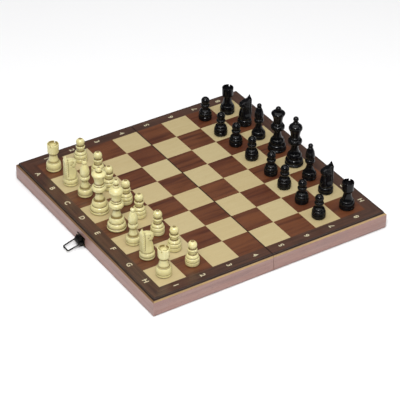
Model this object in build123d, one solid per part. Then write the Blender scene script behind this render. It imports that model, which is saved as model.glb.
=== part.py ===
"""Folding chess board with a wire-loop clasp and a full set of turned chess pieces.

Millimetres. The origin is on the plane of the walls' rims, at the middle of the fold.
+Z points up out of the playing surface, +X from the white side to the black side, and
+Y from the h file to the a file. The fold runs along Y. The white half is the half with
the clasp, and the black half hangs on it by two small butt hinges.
"""
from build123d import *
import os
from math import cos, radians, sin

os.makedirs("parts", exist_ok=True)

# board
SQUARE = 40.0
FOLD = 0.25  # half of the gap between the two halves
BORDER_X = 18.0
BORDER_Y = 17.2
TOP = 24.4  # playing surface above the rims
VENEER = 0.6
PLY = 3.4
PROUD = 2.2  # the panel stands this far above the ledge round it
BEVEL = 2.0
LEDGE = 1.0  # flat between the bevel and the panel
WALL = 8.0
FELT = 0.5
SEAM = 0.02  # half of the glue line round each veneer

PANEL_X = FOLD + 4 * SQUARE + BORDER_X
PANEL_Y = 4 * SQUARE + BORDER_Y
OUT_X = PANEL_X + BEVEL + LEDGE
OUT_Y = PANEL_Y + BEVEL + LEDGE
IN_X = OUT_X - WALL
IN_Y = OUT_Y - WALL
PLY_TOP = TOP - VENEER
PLY_LOW = PLY_TOP - PLY
BEVEL_TOP = TOP - PROUD
BEVEL_LOW = BEVEL_TOP - BEVEL

# fold hinges, axis along Y
AXIS_Z = -0.15
HINGE_Y = 110.0
HINGE_LEN = 26.0
LEAF_W = 7.4
LEAF_T = 0.8
KNUCKLE = 1.3
RELIEF = 1.55
PIN_R = 0.6
BORE_R = 0.65
MID_KNUCKLE = 8.6
AXIAL = 0.15

# the one size of nail that holds the hinges, the clasp and the catch
NAIL_HEAD_R = 1.1
NAIL_HEAD_T = 0.4
NAIL_R = 0.55
NAIL_LEN = 7.0

# clasp on the outer wall of the white half: u is the distance out from the wall
PLATE_T = 1.0
CLASP_Z = 6.9
PIVOT = (4.4, 3.2)  # lever pin (u, z)
LOOP_PIVOT = (3.0, 6.8)
WIRE_R = 0.95
LOOP_LEN = 21.8
LOOP_DROOP = 14.0
CHEEK_OUT = 4.7
CHEEK_IN = 3.9
EAR_IN = 4.9
EAR_OUT = 5.7
LEG_Y = 7.0
BAR_Y = 6.4
CLASP_PIN_R = 0.8
CATCH_Z = 13.9
HOOK_LOW = 12.7  # hook's web; the loop's bar lies just above it when the board is shut
HOOK_OUT = 5.2

# chess pieces
PIECE_FELT = 0.6

# each piece stands by hand, this far in x and y off the middle of its square
OFF_CENTRE = {
    "white_rook_a": (-4.0, 0.0), "white_knight_b": (-1.1, -1.9), "white_bishop_c": (2.0, 4.5),
    "white_queen": (-0.4, 2.2), "white_king": (-0.5, -2.4), "white_bishop_f": (1.0, -1.6),
    "white_knight_g": (0.2, 2.4), "white_rook_h": (-1.2, -0.1),
    "white_pawn_a": (-2.1, -0.6), "white_pawn_b": (1.7, -1.4), "white_pawn_c": (-3.1, 1.3),
    "white_pawn_d": (-1.1, 0.7), "white_pawn_e": (-2.0, 4.8), "white_pawn_f": (-1.3, -0.4),
    "white_pawn_g": (-1.6, -1.6), "white_pawn_h": (1.5, -0.3),
    "black_rook_a": (-3.7, -2.9), "black_knight_b": (-0.4, -2.2), "black_bishop_c": (-2.8, -0.7),
    "black_queen": (2.1, 0.6), "black_king": (1.9, -1.2), "black_bishop_f": (-0.5, -0.3),
    "black_knight_g": (-0.5, 1.4), "black_rook_h": (1.7, -3.6),
    "black_pawn_a": (0.0, -1.0), "black_pawn_b": (-3.2, -6.2), "black_pawn_c": (0.0, 0.2),
    "black_pawn_d": (-0.3, 0.2), "black_pawn_e": (0.7, -5.0), "black_pawn_f": (-1.9, -0.8),
    "black_pawn_g": (-1.7, -1.4), "black_pawn_h": (-2.5, -1.2),
}


def block(x0, x1, y0, y1, z0, z1):
    """Box between two corners."""
    middle = ((x0 + x1) / 2, (y0 + y1) / 2, (z0 + z1) / 2)
    return Pos(*middle) * Box(abs(x1 - x0), abs(y1 - y0), abs(z1 - z0))


def rod_y(radius, x, z, y0, y1):
    """Round rod along Y."""
    return Pos(x, (y0 + y1) / 2, z) * Rot(90, 0, 0) * Cylinder(radius, abs(y1 - y0))


def prism_y(points, y0, y1):
    """Solid with the outline (x, z) between two values of y."""
    outline = Polyline(*[(x, y0, z) for x, z in points], close=True)
    return extrude(make_face(outline), amount=y1 - y0, dir=(0, 1, 0))


def prism_x(points, x0, x1):
    """Solid with the outline (y, z) between two values of x."""
    outline = Polyline(*[(x0, y, z) for y, z in points], close=True)
    return extrude(make_face(outline), amount=x1 - x0, dir=(1, 0, 0))


def prism_z(points, z0, z1):
    """Solid with the outline (x, y) between two heights."""
    outline = Polyline(*[(x, y, z0) for x, y in points], close=True)
    return extrude(make_face(outline), amount=z1 - z0, dir=(0, 0, 1))


def profile_edges(steps):
    """Edges through (r, z) points; a step of four numbers is a curve by way of its first two."""
    edges = []
    last = steps[0]
    for step in steps[1:]:
        here = (step[-2], step[-1])
        start, end = (last[0], 0, last[1]), (here[0], 0, here[1])
        if len(step) == 2:
            edges.append(Line(start, end))
        else:
            pull_r = 2 * step[0] - (last[0] + here[0]) / 2
            pull_z = 2 * step[1] - (last[1] + here[1]) / 2
            edges.append(Bezier(start, (pull_r, 0, pull_z), end))
        last = here
    return edges


def turned(steps, ball=None):
    """Solid of revolution about Z from a profile that starts on the axis, with a ball on top."""
    steps = steps + [(0, steps[-1][-1])]
    edges = profile_edges(steps)
    edges.append(Line((0, 0, steps[-1][-1]), (0, 0, steps[0][-1])))
    body = revolve(make_face(edges), Axis.Z)
    if ball:
        middle, radius = ball
        body += Pos(0, 0, middle) * Sphere(radius)
    return body


# ---------------------------------------------------------------- chess pieces

def foot(radius, lip=0.0):
    """Lower edge of a piece: a rounded lip, a V groove and the start of the bulge."""
    edge = radius + lip
    return [
        (0, PIECE_FELT),
        (edge - 1.2, PIECE_FELT),
        (edge - 0.3, PIECE_FELT + 0.3, edge, PIECE_FELT + 1.3),
        (edge, 3.1),
        (radius - 0.8, 4.0),
        (radius - 0.2, 4.6),
    ]


def tall_stem():
    """Body of the king and the queen up to the top of the collar."""
    return foot(12.2, 0.7) + [
        (12.2, 7.6, 10.7, 10.2),
        (9.5, 10.7),
        (9.5, 11.1),
        (10.2, 11.7),
        (10.1, 14.8, 8.7, 18.0),
        (7.8, 18.5),
        (5.5, 23.6, 4.75, 30.0),
        (4.9, 31.6),
        (6.0, 32.4),
        (9.0, 34.3, 9.8, 37.3),
        (9.3, 39.5, 7.3, 41.0),
        (6.6, 41.3),
        (6.6, 41.9),
        (7.2, 42.4),
        (7.3, 43.1, 6.9, 43.7),
    ]


def king():
    return turned(tall_stem() + [
        (6.3, 44.1),
        (7.0, 50.4, 9.2, 56.4),
        (9.5, 57.4),
        (8.4, 61.6, 4.4, 64.4),
        (3.7, 64.9),
        (4.2, 66.0, 3.7, 67.2),
        (3.1, 67.6),
        (3.0, 71.0),
    ], ball=(72.1, 3.9))


def queen():
    return turned(tall_stem() + [
        (6.3, 44.1),
        (6.9, 51.2, 9.6, 57.8),
        (9.9, 58.9),
        (9.4, 59.9),
        (6.8, 61.9, 3.2, 62.6),
        (3.0, 64.6),
    ], ball=(65.5, 4.05))


def bishop():
    body = turned(foot(9.9) + [
        (9.8, 8.2, 8.3, 11.1),
        (7.4, 11.5),
        (7.6, 12.1),
        (5.4, 16.2, 4.3, 21.2),
        (4.3, 23.4),
        (5.2, 24.4),
        (6.75, 27.4, 6.0, 30.3),
        (5.1, 30.8),
        (5.1, 31.4),
        (6.45, 38.6, 3.3, 48.6),
        (2.5, 49.1),
        (2.4, 51.0),
    ], ball=(51.8, 3.4))
    cut = Pos(5.2, 0, 44.6) * Rot(0, -40, 0) * Box(1.1, 16, 9)
    return body - cut


def rook():
    body = turned(foot(10.4) + [
        (10.3, 8.8, 8.9, 12.4),
        (7.9, 12.9),
        (8.1, 13.5),
        (6.2, 18.4, 5.3, 24.0),
        (5.3, 25.2),
        (6.0, 26.2),
        (7.5, 27.8, 7.8, 30.6),
        (8.1, 40.9),
        (7.6, 41.4),
        (5.8, 41.4),
        (5.8, 38.0),
    ])
    for turn in (38, 128):
        body -= Pos(0, 0, 40.2) * Rot(0, 0, turn) * Box(30, 2.0, 4.4)
    return body


def pawn():
    return turned([
        (0, PIECE_FELT),
        (8.2, PIECE_FELT),
        (9.1, PIECE_FELT + 0.3, 9.4, PIECE_FELT + 1.8),
        (9.5, 5.7),
        (8.7, 6.5),
        (9.3, 7.2),
        (9.2, 9.6, 8.5, 11.3),
        (7.6, 11.9),
        (8.0, 12.5),
        (7.4, 14.5, 5.5, 15.9),
        (4.9, 16.3),
        (4.9, 17.2),
        (5.4, 19.2, 6.3, 21.8),
        (6.5, 22.8),
        (6.0, 24.0),
        (4.8, 24.6),
        (4.8, 27.5),
    ], ball=(29.6, 6.0))


def knight():
    """Turned foot and a flat-sided carved head that looks along +X."""
    base = turned(foot(10.3) + [
        (10.2, 7.2, 8.9, 9.6),
        (7.6, 10.1),
        (7.6, 12.0),
    ])
    side = prism_y([
        (-9.6, 10.7), (-9.6, 39.4), (-7.2, 47.0), (-4.8, 40.0), (-3.6, 39.0), (2.6, 38.2),
        (7.3, 36.4), (8.3, 33.6), (7.5, 29.8), (5.3, 26.8), (6.6, 22.4), (8.0, 16.4), (8.4, 10.7),
    ], -9, 9)
    front = prism_x([
        (-8.9, 10.7), (-8.9, 12.6), (-7.4, 15.4), (-6.2, 19.0), (-5.5, 24.0), (-5.0, 39.0),
        (-0.8, 47.4), (0.8, 47.4), (5.0, 39.0), (5.5, 24.0), (6.2, 19.0), (7.4, 15.4),
        (8.9, 12.6), (8.9, 10.7),
    ], -12, 12)
    round_block = turned([
        (0, 10.7),
        (8.2, 10.7),
        (9.2, 11.6, 9.5, 13.6),
        (9.7, 30.0, 9.4, 48.0),
    ])
    head = side & front & round_block
    for y in (-5.4, 5.4):
        head -= rod_y(0.9, 1.0, 34.2, y - 0.9, y + 0.9)
    return base + head


def with_felt(body, radius):
    """A piece and the felt disc under it."""
    disc = Pos(0, 0, PIECE_FELT / 2) * Cylinder(radius, PIECE_FELT)
    return [body.solid(), disc.solid()]


def stood(name, solids, x, y, turn):
    """One piece's solids on the square whose middle is x, y."""
    dx, dy = OFF_CENTRE[name]
    place = Pos(x + dx, y + dy, TOP) * Rot(0, 0, turn)
    return Compound([place * solid for solid in solids])


def chess_pieces():
    """All 32 pieces in the starting position."""
    files = {name: (index - 3.5) * SQUARE for index, name in enumerate("hgfedcba")}
    shapes = {
        "king": with_felt(king(), 11.4),
        "queen": with_felt(queen(), 11.4),
        "bishop": with_felt(bishop(), 8.4),
        "knight": with_felt(knight(), 8.8),
        "rook": with_felt(rook(), 8.9),
        "pawn": with_felt(pawn(), 8.0),
    }
    back_rank = [("king", "e"), ("queen", "d")]
    back_rank += [("bishop", "f"), ("bishop", "c"), ("knight", "g"), ("knight", "b")]
    back_rank += [("rook", "h"), ("rook", "a")]
    nodes = {}
    for colour, side in (("white", -1), ("black", 1)):
        turn = 0 if side < 0 else 180
        x = side * (FOLD + 3.5 * SQUARE)
        for kind, letter in back_rank:
            name = f"{colour}_{kind}" if kind in ("king", "queen") else f"{colour}_{kind}_{letter}"
            nodes[name] = stood(name, shapes[kind], x, files[letter], turn)
        x = side * (FOLD + 2.5 * SQUARE)
        for letter, y in files.items():
            name = f"{colour}_pawn_{letter}"
            nodes[name] = stood(name, shapes["pawn"], x, y, turn)
    return nodes


# ---------------------------------------------------------------- board

def nail(x, y, z, direction):
    """Flat-headed nail, its head's face at the point and its shank along the direction."""
    head = Pos(0, 0, NAIL_HEAD_T / 2) * Cylinder(NAIL_HEAD_R, NAIL_HEAD_T)
    straight = NAIL_LEN - NAIL_HEAD_T - 1.2
    shank = Pos(0, 0, NAIL_HEAD_T + straight / 2) * Cylinder(NAIL_R, straight)
    tip = Pos(0, 0, NAIL_LEN - 0.6) * Cone(NAIL_R, 0.1, 1.2)
    return Plane(origin=(x, y, z), z_dir=direction) * (head + shank + tip)


def nail_hole(x, y, z, direction, head=True):
    """Space for a nail, with its head sunk flush."""
    shank = Pos(0, 0, (NAIL_LEN + 0.1) / 2) * Cylinder(NAIL_R + 0.02, NAIL_LEN + 0.1)
    if head:
        shank += Pos(0, 0, NAIL_HEAD_T / 2 - 0.5) * Cylinder(NAIL_HEAD_R + 0.05, NAIL_HEAD_T + 1)
    return Plane(origin=(x, y, z), z_dir=direction) * shank


def hinge_nails(side):
    """Where the nails of one half's two hinge leaves stand."""
    spots = []
    for y in (-HINGE_Y, HINGE_Y):
        for step in (-8.5, 8.5):
            spots.append((side * 4.6, y + step, 0.0, (0, 0, 1)))
    return spots


def clasp_nails(side):
    """Where the nails of the clasp's plate (white side) or of the catch (black side) stand."""
    if side > 0:
        return [(OUT_X + PLATE_T, y, CATCH_Z, (-1, 0, 0)) for y in (-7.4, 7.4)]
    spots = []
    for y in (-7.6, 7.6):
        for z in (CLASP_Z - 4.2, CLASP_Z + 4.2):
            spots.append((-OUT_X - PLATE_T, y, z, (1, 0, 0)))
    return spots


def outer_section(reach):
    """Wall outline for an outside wall: rim, vertical face, bevel, ledge and rebate."""
    return [
        (reach, 0),
        (reach, BEVEL_LOW),
        (reach - BEVEL, BEVEL_TOP),
        (reach - BEVEL - LEDGE, BEVEL_TOP),
        (reach - BEVEL - LEDGE, PLY_LOW),
        (reach - WALL, PLY_LOW),
        (reach - WALL, 0),
    ]


def long_wall(side, end):
    """Front (end -1) or rear (end +1) wall of a half, mitred at its outer corner."""
    low, high = sorted((side * FOLD, side * OUT_X))
    section = [(end * y, z) for y, z in outer_section(OUT_Y)]
    plan = [
        (side * FOLD, end * OUT_Y),
        (side * OUT_X, end * OUT_Y),
        (side * IN_X, end * IN_Y),
        (side * FOLD, end * IN_Y),
    ]
    return prism_x(section, low, high) & prism_z(plan, -1, TOP)


def outer_wall(side):
    """Wall opposite the fold, mitred at both ends; it carries the clasp or the catch."""
    section = [(side * x, z) for x, z in outer_section(OUT_X)]
    plan = [
        (side * OUT_X, -OUT_Y),
        (side * OUT_X, OUT_Y),
        (side * IN_X, IN_Y),
        (side * IN_X, -IN_Y),
    ]
    wall = prism_y(section, -OUT_Y, OUT_Y) & prism_z(plan, -1, TOP)
    for spot in clasp_nails(side):
        wall -= nail_hole(*spot, head=False)
    return wall


def fold_wall(side):
    """Wall beside the fold, with the hinge mortises and the reliefs for the knuckles."""
    wall = block(side * FOLD, side * (FOLD + WALL), -IN_Y, IN_Y, 0, PLY_LOW)
    for y in (-HINGE_Y, HINGE_Y):
        half = HINGE_LEN / 2
        wall -= block(0, side * (LEAF_W + 0.05), y - half - 0.05, y + half + 0.05, -1, LEAF_T)
        wall -= rod_y(RELIEF, 0, AXIS_Z, y - half - 1.0, y + half + 1.0)
    for spot in hinge_nails(side):
        wall -= nail_hole(*spot, head=False)
    return wall


def panel(side):
    return block(side * FOLD, side * PANEL_X, -PANEL_Y, PANEL_Y, PLY_LOW, PLY_TOP)


def felt_lining(side):
    inset = 0.3
    x0 = side * (FOLD + WALL + inset)
    x1 = side * (IN_X - inset)
    return block(x0, x1, inset - IN_Y, IN_Y - inset, PLY_LOW - FELT, PLY_LOW)


def squares(side, light):
    """The 16 light or dark veneer squares of one half."""
    tiles = []
    for column in range(4):
        for row in range(8):
            if ((column + row + (side < 0)) % 2 == 0) != light:
                continue
            x0 = FOLD + column * SQUARE
            y0 = (row - 4) * SQUARE
            tile = block(
                side * (x0 + SEAM), side * (x0 + SQUARE - SEAM),
                y0 + SEAM, y0 + SQUARE - SEAM, PLY_TOP, TOP,
            )
            tiles.append(tile.solid())
    return Compound(tiles)


def border(side):
    """Three veneer strips round the squares, mitred at the outer corners."""
    edge = FOLD + 4 * SQUARE
    strips = []
    for end in (-1, 1):
        plan = [
            (side * FOLD, end * (4 * SQUARE + SEAM)),
            (side * (edge - SEAM), end * (4 * SQUARE + SEAM)),
            (side * (PANEL_X - SEAM), end * PANEL_Y),
            (side * FOLD, end * PANEL_Y),
        ]
        strips.append(prism_z(plan, PLY_TOP, TOP))
    plan = [
        (side * (edge + SEAM), -4 * SQUARE + SEAM),
        (side * (edge + SEAM), 4 * SQUARE - SEAM),
        (side * PANEL_X, PANEL_Y - SEAM),
        (side * PANEL_X, SEAM - PANEL_Y),
    ]
    strips.append(prism_z(plan, PLY_TOP, TOP))
    return Compound([strip.solid() for strip in strips])


# ---------------------------------------------------------------- fold hinges

def hinge_leaf(side, y):
    """Leaf let into the rim; the white side has the two end knuckles, the black side the middle."""
    half = HINGE_LEN / 2
    middle = MID_KNUCKLE / 2
    ends = [(-half, -middle - AXIAL), (middle + AXIAL, half)]
    own, other = (ends, [(-middle, middle)]) if side < 0 else ([(-middle, middle)], ends)
    leaf = block(side * 0.7, side * LEAF_W, y - half, y + half, 0, LEAF_T)
    for low, high in other:
        leaf -= rod_y(RELIEF, 0, AXIS_Z, y + low - AXIAL, y + high + AXIAL)
    for low, high in own:
        leaf += rod_y(KNUCKLE, 0, AXIS_Z, y + low, y + high)
    leaf -= rod_y(BORE_R, 0, AXIS_Z, y - half - 1, y + half + 1)
    for spot in hinge_nails(side):
        if abs(spot[1] - y) < half:
            leaf -= nail_hole(*spot)
    return leaf


def hinge_leaves(side):
    return Compound([hinge_leaf(side, y).solid() for y in (-HINGE_Y, HINGE_Y)])


def hinge_pins():
    """One pin to each hinge, with a small head at both ends."""
    pins = []
    half = HINGE_LEN / 2
    for y in (-HINGE_Y, HINGE_Y):
        pin = rod_y(PIN_R, 0, AXIS_Z, y - half - 0.2, y + half + 0.2)
        pin += rod_y(1.0, 0, AXIS_Z, y + half, y + half + 0.6)
        pin += rod_y(1.0, 0, AXIS_Z, y - half - 0.6, y - half)
        pins.append(pin.solid())
    return Compound(pins)


def nails(side):
    spots = hinge_nails(side) + clasp_nails(side)
    return Compound([nail(*spot).solid() for spot in spots])


# ---------------------------------------------------------------- clasp

def out(u):
    """x of a point that stands u out from the clasp's wall."""
    return -OUT_X - u


def winged_plate(half_y, half_z, waist, z, x0, x1):
    """Plate with four pointed corners and hollow ends."""
    edge = [
        Line((x0, -half_y, z + half_z), (x0, half_y, z + half_z)),
        ThreePointArc((x0, half_y, z + half_z), (x0, waist, z), (x0, half_y, z - half_z)),
        Line((x0, half_y, z - half_z), (x0, -half_y, z - half_z)),
        ThreePointArc((x0, -half_y, z - half_z), (x0, -waist, z), (x0, -half_y, z + half_z)),
    ]
    return extrude(make_face(edge), amount=x1 - x0, dir=(1, 0, 0))


def clasp_plate():
    """Plate against the wall with two ears for the lever's pin."""
    plate = winged_plate(10.4, 6.3, 8.0, CLASP_Z, out(PLATE_T), out(0))
    u, z = PIVOT
    for inner, outer in ((EAR_IN, EAR_OUT), (-EAR_OUT, -EAR_IN)):
        foot_line = [(out(0.4), 1.0), (out(0.4), 5.4), (out(u), z + 1.9), (out(u), z - 1.9)]
        plate += prism_y(foot_line, inner, outer)
        plate += rod_y(1.9, out(u), z, inner, outer)
    plate -= rod_y(CLASP_PIN_R, out(u), z, -10, 10)
    for spot in clasp_nails(-1):
        plate -= nail_hole(*spot)
    return plate


def clasp_pin():
    u, z = PIVOT
    return rod_y(CLASP_PIN_R, out(u), z, -EAR_OUT, EAR_OUT)


def lever_outline(steps):
    """Face in the plane y = 0 from (u, z) steps, curves as in profile_edges."""
    placed = []
    for step in steps:
        placed.append(tuple(out(v) if k % 2 == 0 else v for k, v in enumerate(step)))
    edges = profile_edges(placed)
    first, last = placed[0], placed[-1]
    edges.append(Line((last[-2], 0, last[-1]), (first[0], 0, first[1])))
    return make_face(edges)


def clasp_lever():
    """Hollow pressed lever: a bulging skin with two cheeks and a turned-up thumb edge."""
    outside = lever_outline([
        (1.3, 4.8), (2.6, 1.9), (5.0, 1.6), (8.7, 7.4, 5.0, 13.6), (5.9, 14.6), (5.3, 15.0),
        (4.2, 13.9), (1.3, 12.4),
    ])
    inside = lever_outline([
        (0.5, 2.2), (4.9, 2.1), (7.9, 7.4, 4.4, 12.9), (0.5, 11.2),
    ])
    lever = extrude(outside, amount=CHEEK_OUT, dir=(0, 1, 0), both=True)
    lever -= extrude(inside, amount=CHEEK_IN, dir=(0, 1, 0), both=True)
    lever -= rod_y(CLASP_PIN_R + 0.05, out(PIVOT[0]), PIVOT[1], -10, 10)
    lever -= rod_y(WIRE_R + 0.05, out(LOOP_PIVOT[0]), LOOP_PIVOT[1], -10, 10)
    return lever


def clasp_loop():
    """Wire bail, its two ends turned in through the lever's cheeks."""
    u, z = LOOP_PIVOT
    reach = radians(LOOP_DROOP)

    def at(y, s):
        return (out(u + s * cos(reach)), y, z - s * sin(reach))

    path = FilletPolyline(
        at(-3.3, 0), at(-LEG_Y, 0), at(-LEG_Y, 7.0), at(-BAR_Y, LOOP_LEN),
        at(BAR_Y, LOOP_LEN), at(LEG_Y, 7.0), at(LEG_Y, 0), at(3.3, 0),
        radius=1.3,
    )
    section = Plane(origin=at(-3.3, 0), z_dir=(0, -1, 0)) * Circle(WIRE_R)
    return sweep(section, path=path)


def catch_plate():
    """Hook on the black half's outer wall that the loop's bar drops into."""
    plate = winged_plate(9.8, 4.2, 8.9, CATCH_Z, OUT_X, OUT_X + PLATE_T)
    edge, web = OUT_X + HOOK_OUT, HOOK_LOW + 1.0
    hook = prism_y([
        (OUT_X + 0.4, HOOK_LOW), (edge, HOOK_LOW), (edge, web + 1.6), (edge - 0.8, web + 1.6),
        (edge - 0.8, web), (OUT_X + 0.4, web),
    ], -4, 4)
    plate += hook
    for spot in clasp_nails(1):
        plate -= nail_hole(*spot)
    return plate


# ---------------------------------------------------------------- all nodes

def board_nodes():
    nodes = {}
    for half, side in (("white", -1), ("black", 1)):
        nodes[f"{half}_half_wall_front"] = long_wall(side, -1)
        nodes[f"{half}_half_wall_rear"] = long_wall(side, 1)
        nodes[f"{half}_half_wall_outer"] = outer_wall(side)
        nodes[f"{half}_half_wall_fold"] = fold_wall(side)
        nodes[f"{half}_half_panel"] = panel(side)
        nodes[f"{half}_half_light_squares"] = squares(side, True)
        nodes[f"{half}_half_dark_squares"] = squares(side, False)
        nodes[f"{half}_half_border"] = border(side)
        nodes[f"{half}_half_felt_lining"] = felt_lining(side)
        nodes[f"{half}_half_hinge_leaves"] = hinge_leaves(side)
        nodes[f"{half}_half_nails"] = nails(side)
    nodes["hinge_pins"] = hinge_pins()
    nodes["clasp_plate"] = clasp_plate()
    nodes["clasp_pin"] = clasp_pin()
    nodes["clasp_lever"] = clasp_lever()
    nodes["clasp_loop"] = clasp_loop()
    nodes["catch_plate"] = catch_plate()
    return nodes


for node, shape in {**board_nodes(), **chess_pieces()}.items():
    export_step(shape, f"parts/{node}.step")
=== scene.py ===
"""Looks of a folding chess set: veneered board, turned and carved pieces, clasp and lining.

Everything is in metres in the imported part's frame: +Z up out of the playing surface, +X from
the white side to the black side, +Y from the h file to the a file, the fold along Y.
"""
from math import cos, pi, radians, sin

import bmesh
import bpy
import numpy as np
from bpy.props import FloatProperty, FloatVectorProperty, IntProperty, PointerProperty
from mathutils import Matrix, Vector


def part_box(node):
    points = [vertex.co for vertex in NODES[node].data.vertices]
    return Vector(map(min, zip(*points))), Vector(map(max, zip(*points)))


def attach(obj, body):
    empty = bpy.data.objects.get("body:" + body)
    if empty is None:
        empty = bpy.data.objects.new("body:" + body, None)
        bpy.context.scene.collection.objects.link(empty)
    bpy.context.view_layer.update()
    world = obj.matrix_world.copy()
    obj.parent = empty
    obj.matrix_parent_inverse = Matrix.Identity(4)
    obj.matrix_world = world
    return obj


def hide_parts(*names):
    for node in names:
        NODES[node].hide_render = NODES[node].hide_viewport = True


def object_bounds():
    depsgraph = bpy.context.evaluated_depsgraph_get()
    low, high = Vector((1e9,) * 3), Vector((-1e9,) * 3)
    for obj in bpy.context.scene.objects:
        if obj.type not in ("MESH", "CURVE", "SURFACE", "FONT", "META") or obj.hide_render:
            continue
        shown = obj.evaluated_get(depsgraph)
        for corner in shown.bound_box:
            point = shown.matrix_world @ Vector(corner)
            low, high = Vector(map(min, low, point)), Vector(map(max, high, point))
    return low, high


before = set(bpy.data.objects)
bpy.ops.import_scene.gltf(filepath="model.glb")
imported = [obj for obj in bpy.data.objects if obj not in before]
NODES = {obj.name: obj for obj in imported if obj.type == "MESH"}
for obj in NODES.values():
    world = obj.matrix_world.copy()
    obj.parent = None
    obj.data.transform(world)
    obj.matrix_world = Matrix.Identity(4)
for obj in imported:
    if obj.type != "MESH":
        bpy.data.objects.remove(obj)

bl_info = {
    "name": "Folding chess set",
    "version": (1, 0, 0),
    "blender": (4, 5, 0),
    "location": "3D View > Sidebar > Chess set",
    "description": "Dresses a folding chess board and its pieces in wood, felt and metal",
    "category": "Add Mesh",
}

CAD_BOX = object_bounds()
MM = 0.001
SQUARES_LOW, SQUARES_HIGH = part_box("white_half_light_squares")
TOP = SQUARES_HIGH.z
SQUARE = (SQUARES_HIGH.x - SQUARES_LOW.x) / 4
FOLD = -SQUARES_HIGH.x
FIELD = 4 * SQUARE
PANEL_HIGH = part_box("black_half_panel")[1]
WALL_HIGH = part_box("black_half_wall_outer")[1]
BEVEL = 2.0 * MM
SIDES = {"white": -1, "black": 1}


# ---------------------------------------------------------------- settings

def colour(name, description, default):
    return FloatVectorProperty(
        name=name, description=description, subtype="COLOR", size=3, min=0, max=1, default=default
    )


def length(name, description, default):
    return FloatProperty(
        name=name, description=description, subtype="DISTANCE", unit="LENGTH", min=0,
        default=default, precision=5,
    )


class BoardSettings(bpy.types.PropertyGroup):
    maple: colour("Light squares", "Ground colour of the light veneer", (0.50, 0.405, 0.215))
    walnut: colour("Dark squares", "Ground colour of the dark veneer", (0.094, 0.028, 0.0105))
    border: colour("Border", "Ground colour of the border veneer", (0.055, 0.027, 0.017))
    wall: colour("Walls", "Ground colour of the walls' wood", (0.315, 0.19, 0.165))
    bevel: colour("Bevel", "Bare wood along the top of the walls", (0.42, 0.27, 0.115))
    edge: colour("Panel edge", "Stain on the panel's edge", (0.02, 0.008, 0.005))
    felt: colour("Lining", "Felt inside the halves", (0.018, 0.085, 0.04))
    mark: colour("Marks", "Gilt colour of the coordinates", (0.74, 0.66, 0.44))
    mark_height: length("Mark height", "Height of a letter or digit", 7.2 * MM)
    mark_proud: length("Mark relief", "How far the marks stand off the veneer", 0.05 * MM)


class PieceSettings(bpy.types.PropertyGroup):
    boxwood: colour("White pieces", "Ground colour of the pale wood", (0.70, 0.65, 0.34))
    ebony: colour("Black pieces", "Ground colour of the stained wood", (0.003, 0.003, 0.0036))
    felt: colour("Foot felt", "Felt under each piece", (0.02, 0.09, 0.045))
    around: IntProperty(
        name="Facets", description="Steps round a turned piece", min=24, max=160, default=64
    )
    softness: length("Arris radius", "How far the turned edges are rubbed down", 0.22 * MM)


class MetalSettings(bpy.types.PropertyGroup):
    brass: colour("Brass", "Hinges and nails", (0.66, 0.46, 0.17))
    antique: colour("Antique metal", "Clasp and catch", (0.03, 0.029, 0.027))
    wire_radius: length("Wire radius", "Radius of the clasp's wire", 0.95 * MM)


class StageSettings(bpy.types.PropertyGroup):
    azimuth: FloatProperty(
        name="Azimuth", description="Camera's bearing", subtype="ANGLE", unit="ROTATION",
        default=radians(-33.0575),
    )
    elevation: FloatProperty(
        name="Elevation", description="Camera's height over the horizon", subtype="ANGLE",
        unit="ROTATION", default=radians(35.0893),
    )
    roll: FloatProperty(
        name="Roll", description="Camera's tilt about its own axis", subtype="ANGLE",
        unit="ROTATION", default=radians(0.772),
    )
    distance: length("Distance", "From the camera to the point it looks at", 2.592)
    lens: FloatProperty(name="Lens", description="Focal length in mm", min=10, default=174.94)
    floor: colour("Floor", "Colour of the floor", (0.95, 0.95, 0.95))
    sky: colour("Sky", "Even light from all round", (0.10, 0.10, 0.105))
    top: FloatProperty(name="Top light", description="Power in watts", min=0, default=62)
    key: FloatProperty(name="Key light", description="Power in watts", min=0, default=21)
    fill: FloatProperty(name="Fill light", description="Power in watts", min=0, default=3)


GROUPS = {
    "chess_board": BoardSettings,
    "chess_pieces": PieceSettings,
    "chess_metal": MetalSettings,
    "chess_stage": StageSettings,
}


# ---------------------------------------------------------------- shader nodes

def node(tree, kind, inputs=None, **settings):
    """Adds a shader node; an input may be a value or another node's output."""
    made = tree.nodes.new("ShaderNode" + kind)
    for name, value in settings.items():
        setattr(made, name, value)
    for name, value in (inputs or {}).items():
        if isinstance(value, bpy.types.NodeSocket):
            tree.links.new(value, made.inputs[name])
        else:
            made.inputs[name].default_value = value
    return made


def maths(tree, operation, *values, clamp=False):
    inputs = dict(enumerate(values))
    return node(tree, "Math", inputs, operation=operation, use_clamp=clamp).outputs[0]


def vectors(tree, operation, *values):
    made = node(tree, "VectorMath", dict(enumerate(values)), operation=operation)
    return made.outputs["Value" if operation == "LENGTH" else "Vector"]


def blend_colours(tree, factor, first, second, mode="MIX"):
    made = node(tree, "Mix", data_type="RGBA", blend_type=mode)
    for index, value in ((0, factor), (6, first), (7, second)):
        if isinstance(value, bpy.types.NodeSocket):
            tree.links.new(value, made.inputs[index])
        elif index:
            made.inputs[index].default_value = (*value, 1)
        else:
            made.inputs[index].default_value = value
    return made.outputs[2]


def fade(tree, value, low, high, to_low=0.0, to_high=1.0):
    """A value carried smoothly from one range to another, held at the ends."""
    inputs = {"Value": value, 1: low, 2: high, 3: to_low, 4: to_high}
    made = node(tree, "MapRange", inputs, interpolation_type="SMOOTHSTEP")
    return made.outputs[0]


def noise(tree, vector, scale, detail=3.0, rough=0.55, warp=0.0):
    inputs = {
        "Vector": vector, "Scale": scale, "Detail": detail, "Roughness": rough, "Distortion": warp
    }
    return node(tree, "TexNoise", inputs).outputs[0]


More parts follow.
